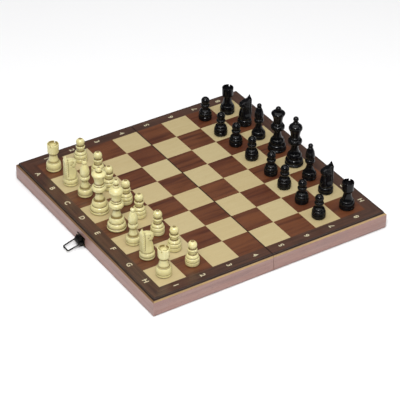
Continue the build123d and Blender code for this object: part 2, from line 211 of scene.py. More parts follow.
def new_group(name, inputs, outputs):
    """Shader node group with named sockets, given as (name, kind, default) and (name, kind)."""
    tree = bpy.data.node_groups.new(name, "ShaderNodeTree")
    for label, kind, default in inputs:
        socket = tree.interface.new_socket(label, in_out="INPUT", socket_type="NodeSocket" + kind)
        if default is not None:
            socket.default_value = default
    for label, kind in outputs:
        tree.interface.new_socket(label, in_out="OUTPUT", socket_type="NodeSocket" + kind)
    return tree, tree.nodes.new("NodeGroupInput").outputs, tree.nodes.new("NodeGroupOutput").inputs


def grain_group():
    """Wood grain along the vector's X: broad streaks, fine fibres and short open pores."""
    tree, given, out = new_group(
        "Wood grain",
        [("Vector", "Vector", None), ("Streak width", "Float", 0.004), ("Wave", "Float", 0.6)],
        [("Streaks", "Float"), ("Fibres", "Float"), ("Pores", "Float"), ("Height", "Float")],
    )
    vector = given["Vector"]
    sway = noise(tree, vectors(tree, "MULTIPLY", vector, (14, 30, 30)), 1.0, 2.0)
    sway = maths(tree, "MULTIPLY", maths(tree, "SUBTRACT", sway, 0.5), given["Wave"])
    across = maths(tree, "DIVIDE", 1.0, given["Streak width"])
    stretch = node(tree, "CombineXYZ", {0: 9.0, 1: across, 2: across}).outputs[0]
    spread = vectors(tree, "MULTIPLY", vector, stretch)
    bent = vectors(tree, "ADD", spread, node(tree, "CombineXYZ", {1: sway, 2: sway}).outputs[0])
    streaks = fade(tree, noise(tree, bent, 1.0, 3.0, 0.6), 0.3, 0.7)
    fibres = noise(tree, vectors(tree, "MULTIPLY", vector, (70, 2100, 2100)), 1.0, 2.0, 0.6)
    dashes = noise(tree, vectors(tree, "MULTIPLY", vector, (240, 3300, 3300)), 1.0, 1.0)
    pores = fade(tree, dashes, 0.62, 0.72)
    height = maths(tree, "SUBTRACT", maths(tree, "MULTIPLY", fibres, 0.4), pores)
    for socket, value in zip(out, (streaks, fibres, pores, height)):
        tree.links.new(value, socket)
    return tree


def tiles_group():
    """Random shift and shade for each veneer square, told apart by its place on the board."""
    tree, given, out = new_group(
        "Veneer tiles",
        [("Vector", "Vector", None), ("Seam", "Float", 0.0)],
        [("Vector", "Vector"), ("Shade", "Float")],
    )
    seam = node(tree, "CombineXYZ", {0: given["Seam"]}).outputs[0]
    moved = vectors(tree, "ADD", given["Vector"], seam)
    cell = node(tree, "VectorMath", {0: moved, "Scale": 1 / SQUARE}, operation="SCALE").outputs[0]
    cell = vectors(tree, "FLOOR", cell)
    drawn = node(tree, "TexWhiteNoise", {"Vector": cell}, noise_dimensions="3D")
    shift = vectors(tree, "MULTIPLY", drawn.outputs["Color"], (2.0, 2.0, 2.0))
    tree.links.new(vectors(tree, "ADD", given["Vector"], shift), out["Vector"])
    tree.links.new(drawn.outputs["Value"], out["Shade"])
    return tree


def varnish_group():
    """Uneven gloss of a wiped varnish: a roughness that drifts, with a few finer rubs."""
    tree, given, out = new_group(
        "Varnish",
        [("Vector", "Vector", None), ("Low", "Float", 0.2), ("High", "Float", 0.4)],
        [("Roughness", "Float")],
    )
    broad = noise(tree, given["Vector"], 45.0, 3.0)
    fine = noise(tree, given["Vector"], 700.0, 2.0)
    broad_share = maths(tree, "MULTIPLY", broad, 0.7)
    fine_share = maths(tree, "MULTIPLY", fine, 0.3)
    mixed = maths(tree, "ADD", broad_share, fine_share)
    made = node(tree, "MapRange", {0: mixed, 1: 0.3, 2: 0.7, 3: given["Low"], 4: given["High"]})
    tree.links.new(made.outputs[0], out["Roughness"])
    return tree


def line_group():
    """Soft-edged mask, one where a coordinate lies within a width of a line."""
    tree, given, out = new_group(
        "Line mask",
        [("Value", "Float", 0.0), ("At", "Float", 0.0), ("Width", "Float", 0.0005)],
        [("Mask", "Float")],
    )
    away = maths(tree, "ABSOLUTE", maths(tree, "SUBTRACT", given["Value"], given["At"]))
    share = maths(tree, "DIVIDE", away, given["Width"])
    tree.links.new(maths(tree, "SUBTRACT", 1.0, share, clamp=True), out["Mask"])
    return tree


def use_group(tree, group, inputs):
    made = tree.nodes.new("ShaderNodeGroup")
    made.node_tree = bpy.data.node_groups[group]
    for name, value in inputs.items():
        if isinstance(value, bpy.types.NodeSocket):
            tree.links.new(value, made.inputs[name])
        else:
            made.inputs[name].default_value = value
    return made.outputs


class Paint:
    """A material in the making: its nodes, the object coordinates and the colour so far."""

    def __init__(self, name):
        self.material = bpy.data.materials.new(name)
        self.material.use_nodes = True
        self.tree = self.material.node_tree
        self.tree.nodes.clear()
        self.place = self.tree.nodes.new("ShaderNodeTexCoord").outputs["Object"]

    def along(self, axis, vector=None):
        """Coordinates turned so that the grain, which follows X, runs along an axis."""
        turns = {"x": (0, 0, 0), "y": (0, 0, pi / 2), "z": (0, pi / 2, 0)}
        inputs = {"Vector": vector or self.place, "Rotation": turns[axis]}
        return node(self.tree, "Mapping", inputs).outputs[0]

    def axes(self):
        return node(self.tree, "SeparateXYZ", {0: self.place}).outputs

    def grain(self, vector, width, wave):
        inputs = {"Vector": vector, "Streak width": width, "Wave": wave}
        return use_group(self.tree, "Wood grain", inputs)

    def varnish(self, low, high):
        """Roughness that drifts between two values."""
        inputs = {"Vector": self.place, "Low": low, "High": high}
        return use_group(self.tree, "Varnish", inputs)["Roughness"]

    def line(self, value, at, width):
        return use_group(self.tree, "Line mask", {"Value": value, "At": at, "Width": width})["Mask"]

    def noise(self, *values):
        return noise(self.tree, self.place, *values)

    def streaks(self, vector, stretch, detail):
        """Noise drawn out by a different scale along each axis."""
        return noise(self.tree, vectors(self.tree, "MULTIPLY", vector, stretch), 1.0, detail)

    def fade(self, *values):
        return fade(self.tree, *values)

    def maths(self, *values):
        return maths(self.tree, *values)

    def mix(self, mask, first, second):
        return blend_colours(self.tree, mask, first, second)

    def begin(self, mask, first, second):
        self.tone = self.mix(mask, first, second)

    def over(self, mask, tone):
        """Lays a colour over the one so far, where a mask says."""
        self.tone = self.mix(mask, self.tone, tone)

    def shares(self, *masks):
        """Product of several masks or numbers."""
        product = masks[0]
        for mask in masks[1:]:
            product = self.maths("MULTIPLY", product, mask)
        return product

    def done(self, roughness, height=None, bump=0.0002, strength=0.5, **fixed):
        """The material with its shader; a fixed input's underscores stand for spaces."""
        inputs = {"Base Color": self.tone, "Roughness": roughness}
        inputs.update({key.replace("_", " "): value for key, value in fixed.items()})
        if height is not None:
            lift = {"Height": height, "Distance": bump, "Strength": strength}
            inputs["Normal"] = node(self.tree, "Bump", lift).outputs[0]
        shader = node(self.tree, "BsdfPrincipled", inputs)
        output = self.tree.nodes.new("ShaderNodeOutputMaterial")
        self.tree.links.new(shader.outputs[0], output.inputs[0])
        return self.material


def darker(tone, by):
    return tuple(channel * by for channel in tone)


def warmer(tone, red, green, blue):
    return tuple(min(1, channel * by) for channel, by in zip(tone, (red, green, blue)))


# ---------------------------------------------------------------- wood, felt and metal

def tiled(paint, side):
    """Coordinates shifted for each veneer square of a half, and the square's random shade."""
    inputs = {"Vector": paint.place, "Seam": -SIDES[side] * FOLD}
    tile = use_group(paint.tree, "Veneer tiles", inputs)
    return paint.along("x", tile["Vector"]), tile["Shade"]


def beside_fold(paint):
    """Stains the veneer dark where it was cut through at the fold."""
    across = paint.maths("ABSOLUTE", paint.axes()[0])
    cut = paint.fade(across, FOLD + 0.3 * MM, FOLD + 1.0 * MM, 0.9, 0.0)
    paint.over(cut, bpy.context.scene.chess_board.edge)


def light_veneer(side):
    """Tan figured veneer with faint fibres, each square cut from another place."""
    paint = Paint("Maple veneer " + side)
    vector, shade = tiled(paint, side)
    grain = paint.grain(vector, 0.007, 0.8)
    fleck = paint.streaks(vector, (300, 900, 900), 2.0)
    ground = bpy.context.scene.chess_board.maple
    paint.begin(grain["Streaks"], warmer(ground, 0.95, 0.93, 0.9), ground)
    paint.over(paint.fade(shade, 0, 1, 0, 0.7), warmer(ground, 1.03, 1.07, 1.12))
    fibres = paint.fade(grain["Fibres"], 0.3, 0.7, 0.0, 0.35)
    paint.over(fibres, warmer(ground, 0.84, 0.79, 0.7))
    paint.over(paint.fade(fleck, 0.6, 0.75, 0, 0.3), warmer(ground, 0.72, 0.62, 0.5))
    beside_fold(paint)
    return paint.done(
        paint.varnish(0.3, 0.42), grain["Height"], 0.00004, 0.35,
        Coat_Weight=0.25, Coat_Roughness=0.25,
    )


def dark_veneer(side):
    """Red-brown striped veneer: light and dark ribbons along the board's length."""
    paint = Paint("Walnut veneer " + side)
    vector, shade = tiled(paint, side)
    grain = paint.grain(vector, 0.0042, 1.0)
    ribbon = paint.grain(vector, 0.0115, 0.7)
    ground = bpy.context.scene.chess_board.walnut
    paint.begin(
        grain["Streaks"], warmer(ground, 0.55, 0.45, 0.5), warmer(ground, 1.35, 1.45, 1.4)
    )
    ribbons = paint.fade(ribbon["Streaks"], 0, 1, 0, 0.65)
    paint.over(ribbons, warmer(ground, 1.75, 2.0, 1.9))
    paint.over(paint.fade(shade, 0, 1, 0.0, 0.35), warmer(ground, 0.9, 0.72, 0.8))
    paint.over(paint.shares(grain["Pores"], 0.7), darker(ground, 0.32))
    beside_fold(paint)
    return paint.done(
        paint.varnish(0.3, 0.42), grain["Height"], 0.00006, 0.5,
        Coat_Weight=0.25, Coat_Roughness=0.25,
    )


def border_veneer():
    """Dark veneer of the border, its grain following each strip round the mitres."""
    board = bpy.context.scene.chess_board
    paint = Paint("Border veneer")
    at = paint.axes()
    reach = [paint.maths("ABSOLUTE", at[0]), paint.maths("ABSOLUTE", at[1])]
    outer = paint.maths("GREATER_THAN", paint.maths("SUBTRACT", reach[0], FOLD), reach[1])
    chosen = node(paint.tree, "Mix", {0: outer}, data_type="VECTOR")
    for socket, axis in ((4, "x"), (5, "y")):
        paint.tree.links.new(paint.along(axis), chosen.inputs[socket])
    grain = paint.grain(chosen.outputs[1], 0.0036, 1.3)
    ground = board.border
    paint.begin(grain["Streaks"], warmer(ground, 0.5, 0.42, 0.42), warmer(ground, 1.5, 1.45, 1.4))
    cloud = paint.fade(paint.noise(22.0, 2.0), 0.4, 0.65, 0, 0.6)
    paint.over(cloud, warmer(ground, 1.45, 1.05, 0.85))
    # Lighter and bluer towards the black side: painted reflection.
    paint.over(paint.fade(at[0], -0.17, 0.18, 0, 0.35), warmer(ground, 1.6, 1.75, 2.0))
    paint.over(paint.shares(grain["Pores"], 0.7), darker(ground, 0.3))
    past = [paint.maths("SUBTRACT", one, edge) for one, edge in zip(reach, PANEL_HIGH)]
    stain = paint.fade(paint.maths("MAXIMUM", *past), -0.0022, -0.0004, 0, 0.8)
    paint.over(stain, board.edge)
    beside_fold(paint)
    return paint.done(
        paint.varnish(0.28, 0.42), grain["Height"], 0.00006, 0.5,
        Coat_Weight=0.3, Coat_Roughness=0.22,
    )


def wall_wood(name, axis):
    """Pinkish brown solid wood with a bare, yellower bevel along its top edge, its short walls'
    bevel in painted shade.
    """
    board = bpy.context.scene.chess_board
    paint = Paint(name)
    height = paint.axes()[2]
    vector = paint.along(axis)
    grain = paint.grain(vector, 0.0032, 1.2)
    figure = paint.grain(vector, 0.009, 1.6)
    ground = board.wall
    paint.begin(grain["Streaks"], warmer(ground, 0.82, 0.78, 0.8), warmer(ground, 1.1, 1.12, 1.12))
    paint.over(paint.fade(figure["Streaks"], 0, 1, 0, 0.5), warmer(ground, 1.12, 0.98, 0.9))
    bevel_low = WALL_HIGH.z - BEVEL
    bare = paint.fade(height, bevel_low - 0.3 * MM, bevel_low + 0.2 * MM)
    # On the short walls the bevel is painted at about half brightness: painted shade for the sides
    # turned from the light.
    bevel = board.bevel if axis == "x" else warmer(board.bevel, 0.5, 0.42, 0.4)
    paint.over(bare, paint.mix(grain["Streaks"], darker(bevel, 0.75), bevel))
    # Darkens the flat ledge at the top of the wall, beside the panel, in the panel edge's colour.
    ledge = paint.line(height, WALL_HIGH.z, 0.45 * MM)
    paint.over(paint.fade(ledge, 0.0, 0.6), board.edge)
    paint.over(paint.shares(grain["Pores"], 0.6), darker(ground, 0.35))
    wear_and_highlight_patches = paint.fade(paint.noise(260.0, 2.0), 0.45, 0.6)
    # Lighter patches along the bevel's lower arris: painted highlight of a rounded edge, broken up
    # like wear.
    corner = paint.line(height, bevel_low, 0.5 * MM)
    paint.over(paint.shares(corner, wear_and_highlight_patches, 0.5), warmer(bevel, 1.25, 1.3, 1.4))
    rim = paint.line(height, 0.0, 0.7 * MM)
    paint.over(paint.shares(rim, wear_and_highlight_patches, 0.5), darker(ground, 0.45))
    return paint.done(
        paint.varnish(0.34, 0.5), grain["Height"], 0.00008, 0.55,
        Coat_Weight=0.15, Coat_Roughness=0.3,
    )


def panel_board():
    """Edge of the thin board under the veneers: stained plies."""
    board = bpy.context.scene.chess_board
    paint = Paint("Stained panel")
    ply = paint.streaks(paint.place, (12, 12, 1500), 1.0)
    paint.begin(paint.fade(ply, 0.4, 0.6), board.edge, warmer(board.edge, 2.6, 2.4, 2.2))
    worn = paint.fade(paint.noise(180.0, 3.0), 0.62, 0.72, 0, 0.35)
    paint.over(worn, warmer(board.walnut, 1.2, 1.1, 1.0))
    return paint.done(paint.varnish(0.35, 0.55), ply, 0.0001, 0.4)


def boxwood():
    """Pale yellow close-grained wood under gloss varnish, with painted shade in its grooves."""
    ground = bpy.context.scene.chess_pieces.boxwood
    paint = Paint("Boxwood")
    grain = paint.grain(paint.along("z"), 0.0032, 0.8)
    paint.begin(
        grain["Streaks"], warmer(ground, 0.93, 0.9, 0.82), warmer(ground, 1.03, 1.03, 1.04)
    )
    paint.over(paint.fade(grain["Fibres"], 0.45, 0.75, 0, 0.4), warmer(ground, 0.88, 0.82, 0.7))
    drift = paint.fade(paint.noise(26.0, 1.0), 0.35, 0.65, 0, 0.5)
    paint.over(drift, warmer(ground, 1.02, 0.97, 0.84))
    # Painted shade: the deeper a point lies in a groove, the darker and browner it is painted.
    painted_groove_shade = node(paint.tree, "Attribute", attribute_name="painted_groove_shade").outputs["Fac"]
    paint.over(paint.fade(painted_groove_shade, 0.03, 0.6, 0, 0.95), warmer(ground, 0.3, 0.22, 0.12))
    return paint.done(
        paint.varnish(0.2, 0.33), grain["Fibres"], 0.00002, 0.3,
        Coat_Weight=0.3, Coat_Roughness=0.16, Subsurface_Weight=0.05,
        Subsurface_Radius=(0.004, 0.003, 0.0015),
    )


def ebony():
    """Black stained wood under gloss varnish, with painted shade darkest in the grooves."""
    ground = bpy.context.scene.chess_pieces.ebony
    paint = Paint("Black stained wood")
    grain = paint.grain(paint.along("z"), 0.003, 0.9)
    paint.begin(grain["Streaks"], darker(ground, 0.8), warmer(ground, 1.5, 1.4, 1.4))
    # Painted shade in the grooves, darker the deeper they are.
    painted_groove_shade = node(paint.tree, "Attribute", attribute_name="painted_groove_shade").outputs["Fac"]
    paint.over(paint.fade(painted_groove_shade, 0.05, 1.0), darker(ground, 0.4))
    return paint.done(
        paint.varnish(0.16, 0.24), grain["Fibres"], 0.00002, 0.3,
        Specular_IOR_Level=0.03, Coat_Weight=0.4, Coat_Roughness=0.05,
    )


def felt_cloth(name, ground):
    """Pressed felt: tangled fibres, faint pilling and a fuzzy sheen."""
    paint = Paint(name)
    fuzz = paint.noise(2600.0, 3.0, 0.7, 1.5)
    pill = paint.noise(420.0, 3.0, 0.6)
    paint.begin(paint.fade(fuzz, 0.3, 0.7), darker(ground, 0.62), warmer(ground, 1.5, 1.4, 1.5))
    paint.over(paint.fade(paint.noise(30.0, 2.0), 0.35, 0.65, 0, 0.4), darker(ground, 0.75))
    height = paint.maths("ADD", paint.shares(fuzz, 0.6), pill)
    roughness = paint.fade(pill, 0.3, 0.7, 0.9, 1.0)
    return paint.done(roughness, height, 0.00025, 0.8, Sheen_Weight=0.35, Sheen_Roughness=0.5)


def worn_metal(name, ground, dirt, low, high):
    """Metal with a drifting polish, dirt in patches and fine scratches."""
    paint = Paint(name)
    patch = paint.noise(210.0, 4.0, 0.6)
    scratch = paint.streaks(paint.place, (5200, 300, 900), 2.0)
    paint.begin(paint.fade(patch, 0.42, 0.68, 0, 0.8), ground, dirt)
    paint.over(paint.fade(scratch, 0.62, 0.74, 0, 0.4), warmer(ground, 1.5, 1.5, 1.45))
    height = paint.maths("ADD", patch, paint.shares(scratch, 0.3))
    return paint.done(paint.varnish(low, high), height, 0.00006, 0.35, Metallic=1.0)


def gilt_mark():
    """Pale gilt of the stamped coordinates, rubbed thin in places."""
    mark = bpy.context.scene.chess_board.mark
    paint = Paint("Gilt mark")
    rub = paint.noise(900.0, 3.0)
    paint.begin(paint.fade(rub, 0.35, 0.7), mark, darker(mark, 0.66))
    return paint.done(paint.fade(rub, 0.3, 0.7, 0.3, 0.5), rub, 0.00003, 0.4, Metallic=0.25)


def material(name, maker, *values):
    """A material made once, then found by its name."""
    return bpy.data.materials.get(name) or maker(*values)


def brass():
    return material(
        "Satin brass", worn_metal, "Satin brass", bpy.context.scene.chess_metal.brass,
        (0.24, 0.15, 0.06), 0.26, 0.44,
    )


def dull_brass():
    ground = warmer(bpy.context.scene.chess_metal.brass, 0.42, 0.42, 0.45)
    return material("Dull brass", worn_metal, "Dull brass", ground, (0.06, 0.045, 0.03), 0.32, 0.5)


def antique():
    return material(
        "Antique metal", worn_metal, "Antique metal", bpy.context.scene.chess_metal.antique,
        (0.012, 0.013, 0.011), 0.3, 0.5,
    )


def foot_felt():
    tone = bpy.context.scene.chess_pieces.felt
    return material("Foot felt", felt_cloth, "Foot felt", tone)


# ---------------------------------------------------------------- surfaces

def arrays_of(mesh):
    points = np.empty(len(mesh.vertices) * 3)
    mesh.vertices.foreach_get("co", points)
    return points.reshape(-1, 3)


def mesh_of(name, points, faces, smooth=radians(35)):
    """Mesh from point and face arrays, smooth but for edges sharper than an angle."""
    mesh = bpy.data.meshes.new(name)
    mesh.from_pydata(points.tolist(), [], [face.tolist() for face in faces])
    mesh.update()
    return smoothed(mesh, smooth)


def smoothed(mesh, angle=radians(35)):
    mesh.polygons.foreach_set("use_smooth", np.ones(len(mesh.polygons), bool))
    mesh.set_sharp_from_angle(angle=angle)
    mesh.update()
    return mesh


def object_of(name, mesh, *materials):
    made = bpy.data.objects.new(name, mesh)
    bpy.context.scene.collection.objects.link(made)
    for one in materials:
        made.data.materials.append(one)
    return made


def grid_faces(rows, columns, wrap):
    """Quads between neighbouring rows and columns of a grid numbered row by row."""
    index = np.arange(rows * columns).reshape(rows, columns)
    if wrap:
        index = np.concatenate([index, index[:, :1]], axis=1)
    low, high = index[:-1], index[1:]
    return np.stack([low[:, :-1], low[:, 1:], high[:, 1:], high[:, :-1]], axis=-1).reshape(-1, 4)


def fan(ring, pole, flip):
    """Triangles from a ring of point numbers to a pole."""
    after = np.roll(ring, -1)
    pair = (after, ring) if flip else (ring, after)
    return np.stack([*pair, np.full(len(ring), pole)], axis=-1)


def rings_to_mesh(name, rings, low_pole, high_pole, smooth=radians(35)):
    """Closed surface from stacked rings (rows, around, 3), with a pole at each end."""
    rows, around = rings.shape[:2]
    points = np.concatenate([rings.reshape(-1, 3), [low_pole], [high_pole]])
    last = rows * around
    faces = [*grid_faces(rows, around, True)]
    faces += [*fan(np.arange(around), last, True)]
    faces += [*fan(np.arange(last - around, last), last + 1, False)]
    return mesh_of(name, points, faces, smooth)


def profile_points(steps, curve_steps=7):
    """(r, z) points in millimetres; a step of four numbers is a quadratic curve.

    Its first two numbers are a point m that the curve passes half way, and its last two the end.
    The curve from a to b by way of m has its pull at 2 m - (a + b) / 2, and its point at t is
    (1 - t)^2 a + 2 t (1 - t) pull + t^2 b.
    """
    runs = [np.array([steps[0]], float)]
    t = (np.arange(1, curve_steps + 1) / curve_steps)[:, None]
    for step in steps[1:]:
        end = np.array(step[-2:], float)
        if len(step) == 2:
            runs.append(end[None])
            continue
        start = runs[-1][-1]
        pull = 2 * np.array(step[:2]) - (start + end) / 2
        runs.append((1 - t) ** 2 * start + 2 * t * (1 - t) * pull + t ** 2 * end)
    return np.concatenate(runs)


def rub_corners(points, reach):
    """Profile with each sharp corner cut back by a reach and given a middle point."""
    before, here, after = points[:-2], points[1:-1], points[2:]
    back, ahead = before - here, after - here
    back_length = np.linalg.norm(back, axis=1, keepdims=True)
    ahead_length = np.linalg.norm(ahead, axis=1, keepdims=True)
    cosine = (back * ahead).sum(1, keepdims=True) / (back_length * ahead_length)
    sharp = cosine[:, 0] > cos(pi - radians(14))
    first = here + back * np.minimum(reach / back_length, 0.4)
    second = here + ahead * np.minimum(reach / ahead_length, 0.4)
    middle = 0.25 * first + 0.5 * here + 0.25 * second
    choices = np.stack([first, np.where(sharp[:, None], middle, here), second], axis=1)
    keep = np.stack([sharp, np.ones_like(sharp), sharp], axis=1)
    return np.concatenate([points[:1], choices[keep], points[-1:]])


def ball_points(middle, radius, start_r):
    """Profile of a ball on the axis, from where its underside has a given radius to its top."""
    low = -np.arccos(start_r / radius)
    angle = np.linspace(low, pi / 2, 22)[1:-1]
    return np.stack([radius * np.cos(angle), middle + radius * np.sin(angle)], axis=1)


def recess_of(profile):
    """How far each profile point lies in a groove: the mean radius near it less its own. It sets
    the painted shade in the grooves.
    """
    z = profile[:, 1]
    weight = np.exp(-((z[:, None] - z[None]) / 1.6) ** 2)
    mean = (weight * profile[:, 0]).sum(1) / weight.sum(1)
    return np.clip((mean - profile[:, 0]) / 0.65, 0, 1)


def turned(name, steps, ball=None):
    """Surface of revolution: the point at row i and turn a is (r_i cos a, r_i sin a, z_i)."""
    settings = bpy.context.scene.chess_pieces
    profile = rub_corners(profile_points(steps), settings.softness / MM)
    profile = profile[1:] if profile[0, 0] == 0 else profile
    top = profile[-1, 1]
    if ball:
        profile = np.concatenate([profile, ball_points(ball[0], ball[1], profile[-1, 0])])
        top = ball[0] + ball[1]
    elif profile[-1, 0] == 0:
        profile = profile[:-1]
    angle = np.arange(settings.around) * 2 * pi / settings.around
    r, z = profile[:, :1], profile[:, 1:]
    rings = np.stack([r * np.cos(angle), r * np.sin(angle), z + 0 * angle], axis=-1) * MM
    mesh = rings_to_mesh(
        name, rings, (0, 0, profile[0, 1] * MM), (0, 0, top * MM), radians(40)
    )
    # painted shade in the grooves, one value for each point
    shade = np.concatenate([np.repeat(recess_of(profile), settings.around), [0, 0]])
    mark_recess(mesh, shade)
    return mesh


# Stores each point's share of painted shade in the grooves.
def mark_recess(mesh, values):
    attribute = mesh.attributes.new("painted_groove_shade", "FLOAT", "POINT")
    attribute.data.foreach_set("value", values.astype(np.float32))


def joined(name, meshes):
    """One mesh out of several; the index of each becomes its faces' material."""
    made = bmesh.new()
    for index, mesh in enumerate(meshes):
        already = len(made.faces)
        made.from_mesh(mesh)
        made.faces.ensure_lookup_table()
        for face in made.faces[already:]:
            face.material_index = index
    out = bpy.data.meshes.new(name)
    made.to_mesh(out)
    made.free()
    return out


def box_mesh(size):
    """Closed box of a size about the origin."""
    corner = np.array([(x, y, z) for z in (-1, 1) for y in (-1, 1) for x in (-1, 1)]) / 2
    faces = np.array([
        (0, 2, 3, 1), (4, 5, 7, 6), (0, 1, 5, 4), (2, 6, 7, 3), (0, 4, 6, 2), (1, 3, 7, 5)
    ])
    return mesh_of("cutter", corner * np.array(size), faces)


def sawn(mesh, cuts):
    """The mesh with saw cuts taken out: each cut is a box's size and its placing matrix."""
    body = object_of("sawn", mesh)
    cutters = []
    for size, placing in cuts:
        blade = box_mesh(size)
        blade.transform(placing)
        cutters.append(object_of("blade", blade))
        cutting = body.modifiers.new("cut", "BOOLEAN")
        cutting.operation = "DIFFERENCE"
        cutting.solver = "EXACT"
        cutting.object = cutters[-1]
    bpy.context.view_layer.update()
    seen = body.evaluated_get(bpy.context.evaluated_depsgraph_get())
    cut = bpy.data.meshes.new_from_object(seen)
    if not len(cut.polygons):
        raise RuntimeError("a saw cut left nothing")
    for spent in (body, *cutters):
        bpy.data.objects.remove(spent)
    return smoothed(cut, radians(40))


def foot_disc(radius):
    """Felt disc under a piece, a thin cylinder with a rounded lower edge."""
    steps = [(0, 0), (radius - 0.2, 0), (radius, 0.2), (radius, 0.6), (0, 0.6)]
    return turned("disc", steps)


def set_out(kind, mesh, felt_radius):
    """A piece of the set on every square where its kind stands, in the colour of its side."""
    body = joined(kind, [mesh, foot_disc(felt_radius)])
    smoothed(body, radians(40))
    woods = {
        "white": (0, material("Boxwood", boxwood)),
        "black": (pi, material("Black stained wood", ebony)),
    }
    for name in [name for name in NODES if name.split("_")[1] == kind]:
        side = name.split("_")[0]
        turn, wood = woods[side]
        low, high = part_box(name)
        place = Matrix.Translation(((low.x + high.x) / 2, (low.y + high.y) / 2, TOP))
        copy = body.copy()
        copy.transform(place @ Matrix.Rotation(turn, 4, "Z"))
        piece = object_of(name + "_turned", copy, wood, foot_felt())
        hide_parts(name)
        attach(piece, name + "_body")


def dress(name, finish):
    """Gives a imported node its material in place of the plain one."""
    NODES[name].data.materials.clear()
    NODES[name].data.materials.append(finish)


def softened(node_name, finish, body, width):
    """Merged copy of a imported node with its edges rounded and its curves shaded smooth."""
    work = bmesh.new()
    work.from_mesh(NODES[node_name].data)
    bmesh.ops.remove_doubles(work, verts=work.verts, dist=2e-6)
    bmesh.ops.dissolve_degenerate(work, edges=work.edges, dist=1e-6)
    mesh = bpy.data.meshes.new(node_name + "_soft")
    work.to_mesh(mesh)
    work.free()
    mesh.materials.clear()
    piece = object_of(node_name + "_finished", smoothed(mesh, radians(32)), finish)
    if width:
        rounding = piece.modifiers.new("rounding", "BEVEL")
        rounding.width = width
        rounding.segments = 2
        rounding.limit_method = "ANGLE"
        rounding.angle_limit = radians(50)
        rounding.use_clamp_overlap = True
    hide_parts(node_name)
    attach(piece, body)
    return piece


# ---------------------------------------------------------------- profiles, in millimetres

FELT_TOP = 0.6


def foot(radius, lip=0.0):
    """Lower edge of a piece: a rounded lip, a V groove and the start of the bulge."""
    edge = radius + lip
    return [
        (0, FELT_TOP), (edge - 1.2, FELT_TOP), (edge - 0.3, FELT_TOP + 0.3, edge, FELT_TOP + 1.3),
        (edge, 3.1), (radius - 0.8, 4.0), (radius - 0.2, 4.6),
    ]


def tall_stem():
    """Body of the king and the queen up to the top of the collar."""
    return foot(12.2, 0.7) + [
        (12.2, 7.6, 10.7, 10.2), (9.5, 10.7), (9.5, 11.1), (10.2, 11.7),
        (10.1, 14.8, 8.7, 18.0), (7.8, 18.5), (5.5, 23.6, 4.75, 30.0), (4.9, 31.6), (6.0, 32.4),
        (9.0, 34.3, 9.8, 37.3), (9.3, 39.5, 7.3, 41.0), (6.6, 41.3), (6.6, 41.9), (7.2, 42.4),
        (7.3, 43.1, 6.9, 43.7), (6.3, 44.1),
    ]


def king_profile():
    return tall_stem() + [
        (7.0, 50.4, 9.2, 56.4), (9.5, 57.4), (8.4, 61.6, 4.4, 64.4), (3.7, 64.9),
        (4.2, 66.0, 3.7, 67.2), (3.1, 67.6), (3.0, 69.6),
    ]


def queen_profile():
    return tall_stem() + [
        (6.9, 51.2, 9.6, 57.8), (9.9, 58.9), (9.4, 59.9), (6.8, 61.9, 3.2, 62.6), (3.0, 62.8),
    ]


def bishop_profile():
    return foot(9.9) + [
        (9.8, 8.2, 8.3, 11.1), (7.4, 11.5), (7.6, 12.1), (5.4, 16.2, 4.3, 21.2), (4.3, 23.4),
        (5.2, 24.4), (6.75, 27.4, 6.0, 30.3), (5.1, 30.8), (5.1, 31.4), (6.45, 38.6, 3.3, 48.6),
        (2.5, 49.1), (2.4, 49.4),
    ]


def rook_profile():
    return foot(10.4) + [
        (10.3, 8.8, 8.9, 12.4), (7.9, 12.9), (8.1, 13.5), (6.2, 18.4, 5.3, 24.0), (5.3, 25.2),
        (6.0, 26.2), (7.5, 27.8, 7.8, 30.6), (8.1, 40.9), (7.6, 41.4), (5.8, 41.4), (5.8, 38.0),
        (0, 38.0),
    ]


def pawn_profile():
    return [
        (0, FELT_TOP), (8.2, FELT_TOP), (9.1, FELT_TOP + 0.3, 9.4, FELT_TOP + 1.8), (9.5, 5.7),
        (8.7, 6.5), (9.3, 7.2), (9.2, 9.6, 8.5, 11.3), (7.6, 11.9), (8.0, 12.5),
        (7.4, 14.5, 5.5, 15.9), (4.9, 16.3), (4.9, 17.2), (5.4, 19.2, 6.3, 21.8), (6.5, 22.8),
        (6.0, 24.0), (4.8, 24.6), (4.8, 26.0),
    ]


def knight_foot_profile():
    return foot(10.3) + [(10.2, 7.2, 8.9, 9.6), (7.6, 10.1), (7.6, 11.6), (0, 11.6)]


def along_curve(points, count):
    """Points at even steps along a polyline, its corners eased by a short running mean."""
    points = np.array(points, float)
    reach = np.concatenate([[0], np.cumsum(np.linalg.norm(np.diff(points, axis=0), axis=1))])
    at = np.linspace(0, reach[-1], count)
    fine = np.stack([np.interp(at, reach, points[:, k]) for k in (0, 1)], axis=1)
    window = np.array([1, 2, 3, 2, 1]) / 9
    padded_points = np.pad(fine, ((2, 2), (0, 0)), mode="edge")
    eased = np.stack([np.convolve(padded_points[:, k], window, "valid") for k in (0, 1)], axis=1)
    eased[[0, -1]] = fine[[0, -1]]
    return eased


def groove(x, z, points, width):
    """One on a line through (x, z) points and fading to none at a width from it."""
    nearest = np.full(x.shape, 1e9)
    for (x0, z0), (x1, z1) in zip(points[:-1], points[1:]):
        dx, dz = x1 - x0, z1 - z0
        t = np.clip(((x - x0) * dx + (z - z0) * dz) / (dx * dx + dz * dz), 0, 1)
        nearest = np.minimum(nearest, np.hypot(x - x0 - t * dx, z - z0 - t * dz))
    return np.clip(1 - nearest / width, 0, 1) ** 1.5


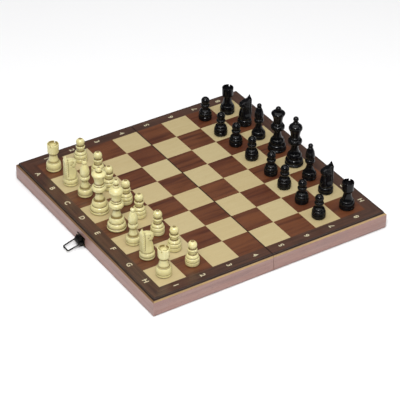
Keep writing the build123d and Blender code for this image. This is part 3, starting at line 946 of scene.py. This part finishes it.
def knight_head():
    """Carved head: rings of a squared ellipse between a back line and a front line.

    At height z the ring runs from the back line's x to the front line's x. Its half width
    narrows upwards to the ear, and its squareness grows from the round neck to the flat
    sides. The mane, jaw, mouth, nostril and eye are then cut in or raised across the sides.
    """
    front = along_curve([
        (8.4, 10.4), (8.5, 13.0), (8.0, 16.4), (6.6, 22.4), (5.4, 26.4), (5.7, 27.6), (7.4, 29.6),
        (8.3, 31.8), (8.3, 33.8), (7.3, 36.2), (2.6, 38.2), (-3.2, 39.2), (-4.6, 40.2),
        (-6.2, 44.0), (-7.0, 47.0),
    ], 190)
    front[:, 1] = np.maximum.accumulate(front[:, 1] + np.arange(190) * 1e-4)
    z = front[:, 1][:, None]
    fore = front[:, 0][:, None]
    back = np.interp(z, [10.4, 13, 25, 37, 39.6, 47], [-9.0, -9.55, -9.3, -9.6, -9.55, -7.3])
    levels = [10.4, 12.6, 15.4, 19, 24, 34, 38.6, 40.5, 47.05]
    wide = np.interp(z, levels, [8.3, 8.5, 7.3, 6.2, 5.5, 5.1, 4.6, 3.6, 0.15])
    square = np.interp(z, [10.4, 14, 20, 38, 47], [2.1, 2.3, 4.2, 4.8, 2.2])
    around = 120
    angle = np.arange(around) * 2 * pi / around
    lead, lift = np.cos(angle), np.sin(angle)
    x = (fore + back) / 2 + (fore - back) / 2 * np.sign(lead) * np.abs(lead) ** (2 / square)
    side = np.sign(lift) * np.abs(lift) ** (2 / square)
    flat = np.abs(lift) ** 0.5
    depth = np.zeros_like(x)
    mane = [(-6.2, 41.5), (-5.4, 36.0), (-5.2, 28.0), (-5.6, 20.0), (-6.6, 15.5)]
    depth += 0.75 * groove(x, z, mane, 0.75)
    for level in np.arange(18.5, 39, 3.1):
        depth += 0.5 * groove(x, z, [(-5.9, level + 1.5), (-9.6, level - 0.9)], 0.55)
    depth += 0.8 * groove(x, z, [(8.8, 31.4), (6.6, 31.0), (4.6, 31.6)], 0.55)
    depth += 0.7 * groove(x, z, [(4.9, 27.0), (2.4, 27.4), (0.4, 29.4), (-0.6, 32.4)], 0.8)
    depth += 0.9 * np.exp(-((x - 6.9) ** 2 + (z - 33.9) ** 2) / 0.35)
    depth += 0.55 * groove(x, z, [(-3.0, 39.6), (-6.0, 40.2)], 0.6)
    ring = np.hypot(x - 1.4, (z - 34.6) * 1.25)
    depth += 0.75 * np.exp(-((ring - 1.25) / 0.34) ** 2) - 0.15 * np.exp(-((ring / 0.8) ** 2))
    depth += 0.45 * groove(x, z, [(2.8, 36.0), (1.2, 36.4), (-0.8, 35.8)], 0.5)
    cheek = np.exp(-((x + 0.4) ** 2 + (z - 29.6) ** 2) / 9.0)
    y = side * (wide - np.clip(depth, -0.3, 1.0) * flat + 0.25 * cheek * flat)
    ear = np.clip((z - 40.6) / 5.0, 0, 1) * np.exp(-(y / 0.9) ** 2) * (x > (fore + back) / 2)
    x = x - 0.5 * ear
    rings = np.stack([x, y, z + 0 * x], axis=-1) * MM
    low, high = rings[0].mean(0), rings[-1].mean(0)
    mesh = rings_to_mesh("knight_head", rings, low, high, radians(50))
    # The carved lines' depth sets their painted shade.
    mark_recess(mesh, np.concatenate([np.clip(depth * flat, 0, 1).ravel(), [0, 0]]))
    return mesh


# ---------------------------------------------------------------- operators

class BuildBoard(bpy.types.Operator):
    """Veneers, border, walls and panels of both halves."""
    bl_idname = "chess.board"
    bl_label = "Board"

    def execute(self, context):
        long_grain = wall_wood("Long wall wood", "x")
        short_grain = wall_wood("Short wall wood", "y")
        shared = {
            "wall_front": long_grain, "wall_rear": long_grain,
            "wall_outer": short_grain, "wall_fold": short_grain,
            "panel": panel_board(), "border": border_veneer(),
        }
        for half in SIDES:
            dress(f"{half}_half_light_squares", light_veneer(half))
            dress(f"{half}_half_dark_squares", dark_veneer(half))
            for name, finish in shared.items():
                dress(f"{half}_half_{name}", finish)
        return {"FINISHED"}


class BuildMarks(bpy.types.Operator):
    """Letters and digits round the border, each half's facing its own player."""
    bl_idname = "chess.marks"
    bl_label = "Coordinate marks"

    def glyph(self, text, x, y, side, height, proud):
        """Letter mesh with its middle at a point on the border and its top away from the player."""
        curve = bpy.data.curves.new("glyph", "FONT")
        curve.body = text
        curve.size = height / 0.7
        curve.extrude = proud
        curve.offset = 0.00022
        curve.resolution_u = 3
        holder = bpy.data.objects.new("glyph", curve)
        bpy.context.scene.collection.objects.link(holder)
        bpy.context.view_layer.update()
        seen = holder.evaluated_get(bpy.context.evaluated_depsgraph_get())
        mesh = bpy.data.meshes.new_from_object(seen)
        bpy.data.objects.remove(holder)
        points = arrays_of(mesh)
        middle = (points.min(0) + points.max(0)) / 2
        middle[2] = 0
        mesh.transform(
            Matrix.Translation((x, y, TOP))
            @ Matrix.Rotation(side * pi / 2, 4, "Z")
            @ Matrix.Translation(-middle)
        )
        return mesh

    def execute(self, context):
        board = context.scene.chess_board
        gilt = gilt_mark()
        strip = (PANEL_HIGH.x + FOLD + FIELD) / 2 - MM
        side_line = (PANEL_HIGH.y + FIELD) / 2 - MM
        for half, side in SIDES.items():
            made = bmesh.new()
            size = (board.mark_height, board.mark_proud)
            for index, letter in enumerate("HGFEDCBA"):
                y = (index - 3.5) * SQUARE
                made.from_mesh(self.glyph(letter, side * strip, y, side, *size))
            for column in range(4):
                digit = str(4 - column if side < 0 else 5 + column)
                x = side * (FOLD + (column + 0.5) * SQUARE)
                for end in (-1, 1):
                    made.from_mesh(self.glyph(digit, x, end * side_line, side, *size))
            mesh = bpy.data.meshes.new(half + "_half_marks")
            bmesh.ops.remove_doubles(made, verts=made.verts, dist=1e-6)
            made.to_mesh(mesh)
            made.free()
            mesh.materials.clear()
            marks = object_of(half + "_half_marks", mesh, gilt)
            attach(marks, half + "_half")
        return {"FINISHED"}


class BuildLining(bpy.types.Operator):
    """Felt sheets laid inside the two halves."""
    bl_idname = "chess.lining"
    bl_label = "Felt lining"

    def execute(self, context):
        cloth = felt_cloth("Lining felt", context.scene.chess_board.felt)
        for half in SIDES:
            low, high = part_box(f"{half}_half_felt_lining")
            mesh = self.sheet_surface(low, high)
            lining = object_of(f"{half}_half_lining", mesh, cloth)
            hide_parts(f"{half}_half_felt_lining")
            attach(lining, f"{half}_half")
        return {"FINISHED"}

    def sheet_surface(self, low, high):
        """Closed sheet: a section of two faces and rounded edges, carried along its length.

        Across the sheet the section goes out along the upper face and back along the lower
        one. The lower face rises and falls by sums of sines, and the cut edges wander.
        """
        across, lengthwise = 46, 96
        u = np.concatenate([np.linspace(0, 1, across), np.linspace(1, 0, across)])
        upper = np.concatenate([np.ones(across), np.zeros(across)])
        v = np.linspace(0, 1, lengthwise)[:, None]
        wander = 0.00012 * np.sin(37 * v + 11 * upper) * (2 * u - 1)
        x = low.x + (high.x - low.x) * u + wander * (np.abs(2 * u - 1) > 0.98)
        x = np.clip(x, low.x, high.x)
        y = low.y + (high.y - low.y) * v + 0 * u
        thick = high.z - low.z
        swell = 0.5 + 0.25 * np.sin(61 * u + 17 * v) + 0.25 * np.sin(23 * u - 71 * v)
        edge_x = np.minimum(u, 1 - u) * (high.x - low.x)
        edge_y = np.minimum(v, 1 - v) * (high.y - low.y)
        edge = np.minimum(edge_x, edge_y)
        round_over = np.clip(1 - edge / 0.0006, 0, 1) ** 2
        under = low.z + thick * (0.1 * swell + 0.45 * round_over)
        z = np.where(upper > 0, high.z - 0.00001, under)
        rings = np.stack([x, y, z], axis=-1)
        return rings_to_mesh("lining", rings, rings[0].mean(0), rings[-1].mean(0), radians(60))


class BuildFold(bpy.types.Operator):
    """Brass hinges, their pins and the nails."""
    bl_idname = "chess.fold"
    bl_label = "Fold hinges"

    def execute(self, context):
        for half in SIDES:
            softened(f"{half}_half_hinge_leaves", brass(), f"{half}_half", 0)
            softened(f"{half}_half_nails", dull_brass(), f"{half}_half", 0)
        softened("hinge_pins", brass(), "white_half", 0.00008)
        return {"FINISHED"}


class BuildClasp(bpy.types.Operator):
    """Clasp plate, pin, lever and wire loop, and the catch on the other half."""
    bl_idname = "chess.clasp"
    bl_label = "Clasp"

    def execute(self, context):
        for name, body, width in (
            ("clasp_plate", "white_half", 0.00012), ("clasp_pin", "white_half", 0),
            ("clasp_lever", "clasp_lever", 0), ("catch_plate", "black_half", 0.00012),
        ):
            softened(name, antique(), body, width)
        wire = object_of("clasp_wire", self.wire_surface(), antique())
        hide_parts("clasp_loop")
        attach(wire, "clasp_loop")
        return {"FINISHED"}

    def wire_surface(self):
        """Round section carried along the bail's line, which lies in one sloping plane.

        The line is the bail's corners with each one replaced by a quadratic curve. At each
        point the section's two directions are the plane's normal and the normal crossed with
        the line's direction.
        """
        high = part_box("clasp_loop")[1]
        droop = radians(14)
        radius = bpy.context.scene.chess_metal.wire_radius / MM
        pivot = np.array([high.x, 0, high.z]) / MM - np.array([radius, 0, radius])
        flat = np.array([
            (-3.3, 0), (-7.0, 0), (-7.0, 7), (-6.4, 21.8), (6.4, 21.8), (7.0, 7), (7.0, 0), (3.3, 0)
        ], float)
        here = flat[1:-1]
        back, ahead = flat[:-2] - here, flat[2:] - here
        ease = 2.0
        first = here + back * ease / np.linalg.norm(back, axis=1, keepdims=True)
        last = here + ahead * ease / np.linalg.norm(ahead, axis=1, keepdims=True)
        t = np.linspace(0, 1, 9)[None, :, None]
        bends = (
            (1 - t) ** 2 * first[:, None] + 2 * t * (1 - t) * here[:, None] + t ** 2 * last[:, None]
        ).reshape(-1, 2)
        line = np.concatenate([flat[:1], bends, flat[-1:]])
        ahead = np.gradient(line, axis=0)
        ahead /= np.linalg.norm(ahead, axis=1, keepdims=True)
        outward = np.stack([ahead[:, 1], -ahead[:, 0]], axis=1)
        angle = np.arange(20) * 2 * pi / 20
        spread = line[:, None] + radius * np.cos(angle)[None, :, None] * outward[:, None]
        lift = radius * np.sin(angle)[None, :] + 0 * spread[..., 0]
        y, reach = spread[..., 0], spread[..., 1]
        x = pivot[0] - reach * cos(droop) - lift * sin(droop)
        z = pivot[2] - reach * sin(droop) + lift * cos(droop)
        rings = np.stack([x, y, z], axis=-1) * MM
        return rings_to_mesh("clasp_wire", rings, rings[0].mean(0), rings[-1].mean(0), radians(50))


class BuildRoyals(bpy.types.Operator):
    """Kings and queens."""
    bl_idname = "chess.royals"
    bl_label = "Kings and queens"

    def execute(self, context):
        set_out("king", turned("king", king_profile(), ball=(72.1, 3.9)), 11.4)
        set_out("queen", turned("queen", queen_profile(), ball=(65.5, 4.05)), 11.4)
        return {"FINISHED"}


class BuildBishops(bpy.types.Operator):
    """Bishops, with a slanting cut in the mitre."""
    bl_idname = "chess.bishops"
    bl_label = "Bishops"

    def execute(self, context):
        body = turned("bishop", bishop_profile(), ball=(51.8, 3.4))
        slant = Matrix.Translation((0.0052, 0, 0.0446)) @ Matrix.Rotation(radians(-40), 4, "Y")
        set_out("bishop", sawn(body, [((0.0011, 0.016, 0.009), slant)]), 8.4)
        return {"FINISHED"}


class BuildKnights(bpy.types.Operator):
    """Knights: a turned foot and a carved head."""
    bl_idname = "chess.knights"
    bl_label = "Knights"

    def execute(self, context):
        foot_part = turned("knight_foot", knight_foot_profile())
        whole = joined("knight_body", [foot_part, knight_head()])
        whole.polygons.foreach_set("material_index", np.zeros(len(whole.polygons), np.int32))
        set_out("knight", whole, 8.8)
        return {"FINISHED"}


class BuildRooks(bpy.types.Operator):
    """Rooks, their crowns cut by two crossing saw cuts."""
    bl_idname = "chess.rooks"
    bl_label = "Rooks"

    def execute(self, context):
        cuts = []
        for turn in (38, 128):
            place = Matrix.Translation((0, 0, 0.0402)) @ Matrix.Rotation(radians(turn), 4, "Z")
            cuts.append(((0.030, 0.002, 0.0044), place))
        set_out("rook", sawn(turned("rook", rook_profile()), cuts), 8.9)
        return {"FINISHED"}


class BuildPawns(bpy.types.Operator):
    """Pawns."""
    bl_idname = "chess.pawns"
    bl_label = "Pawns"

    def execute(self, context):
        set_out("pawn", turned("pawn", pawn_profile(), ball=(29.6, 6.0)), 8.0)
        return {"FINISHED"}


class BuildStage(bpy.types.Operator):
    """Pale floor, soft lights and the camera."""
    bl_idname = "chess.stage"
    bl_label = "Stage"

    def execute(self, context):
        stage = context.scene.chess_stage
        scene = context.scene
        scene.view_settings.view_transform = "Standard"
        reach, level = 4, CAD_BOX[0].z
        corners = np.array([
            (-reach, -reach, level), (reach, -reach, level),
            (reach, reach, level), (-reach, reach, level),
        ])
        floor_mesh = mesh_of("floor", corners, np.array([(0, 1, 2, 3)]))
        paint = Paint("Pale floor")
        paint.begin(paint.noise(3.0, 2.0), stage.floor, darker(stage.floor, 0.985))
        object_of("floor", floor_mesh, paint.done(0.9))
        world = bpy.data.worlds.new("Studio") if not scene.world else scene.world
        scene.world = world
        world.use_nodes = True
        sky = world.node_tree.nodes["Background"]
        sky.inputs[0].default_value = (*stage.sky, 1)
        sky.inputs[1].default_value = 1.0
        self.softbox("Top", (-0.2, -0.15, 2.4), (3.2, 3.2), stage.top)
        self.softbox("Key", (-0.75, -1.0, 1.5), (0.6, 0.3), stage.key)
        self.softbox("Fill", (1.2, -1.1, 0.9), (0.7, 0.7), stage.fill)
        self.camera(stage)
        return {"FINISHED"}

    def softbox(self, name, at, size, power):
        lamp = bpy.data.lights.new(name, "AREA")
        lamp.energy = power
        lamp.shape = "RECTANGLE"
        lamp.size, lamp.size_y = size
        holder = bpy.data.objects.new(name, lamp)
        bpy.context.scene.collection.objects.link(holder)
        holder.location = at
        aim = -np.array(at)
        holder.rotation_euler = Matrix(
            facing(aim / np.linalg.norm(aim), 0).T.tolist()
        ).to_euler()

    def camera(self, stage):
        """Camera that looks at a point from a bearing and height, rolled about its own axis."""
        lens = bpy.data.cameras.new("Camera")
        lens.sensor_width = 36
        lens.lens = stage.lens
        lens.clip_end = 50
        holder = bpy.data.objects.new("Camera", lens)
        bpy.context.scene.collection.objects.link(holder)
        bpy.context.scene.camera = holder
        azimuth, elevation = stage.azimuth, stage.elevation
        back = np.array([
            sin(azimuth) * cos(elevation), -cos(azimuth) * cos(elevation), sin(elevation)
        ])
        aim = np.array([-0.014592, -0.0270, TOP])
        holder.location = aim + back * stage.distance
        holder.rotation_euler = Matrix(facing(-back, stage.roll).T.tolist()).to_euler()


def facing(ahead, roll):
    """Rows right, up and back of a view along a direction, turned by a roll about it."""
    right = np.cross(ahead, [0, 0, 1])
    right /= np.linalg.norm(right)
    up = np.cross(right, ahead)
    tilt = np.array([[cos(roll), sin(roll)], [-sin(roll), cos(roll)]])
    return np.vstack([tilt @ [right, up], -ahead])


class ChessPanel(bpy.types.Panel):
    """Settings and building steps of the chess set"""
    bl_idname = "VIEW3D_PT_chess"
    bl_label = "Chess set"
    bl_space_type = "VIEW_3D"
    bl_region_type = "UI"
    bl_category = "Chess set"

    def draw(self, context):
        for label in GROUPS:
            box = self.layout.box()
            group = getattr(context.scene, label)
            for key in group.__annotations__:
                box.prop(group, key)
        for operator in OPERATORS:
            self.layout.operator(operator.bl_idname)


OPERATORS = (
    BuildStage, BuildBoard, BuildMarks, BuildLining, BuildFold, BuildClasp, BuildRoyals,
    BuildBishops, BuildKnights, BuildRooks, BuildPawns,
)


def register():
    for one in (*GROUPS.values(), *OPERATORS, ChessPanel):
        bpy.utils.register_class(one)
    for label, group in GROUPS.items():
        setattr(bpy.types.Scene, label, PointerProperty(type=group))


def unregister():
    for label in GROUPS:
        delattr(bpy.types.Scene, label)
    for one in reversed((*GROUPS.values(), *OPERATORS, ChessPanel)):
        bpy.utils.unregister_class(one)


def main():
    register()
    for make in (grain_group, tiles_group, varnish_group, line_group):
        make()
    for operator in OPERATORS:
        family, name = operator.bl_idname.split(".")
        getattr(getattr(bpy.ops, family), name)()


if __name__ == "__main__":
    main()
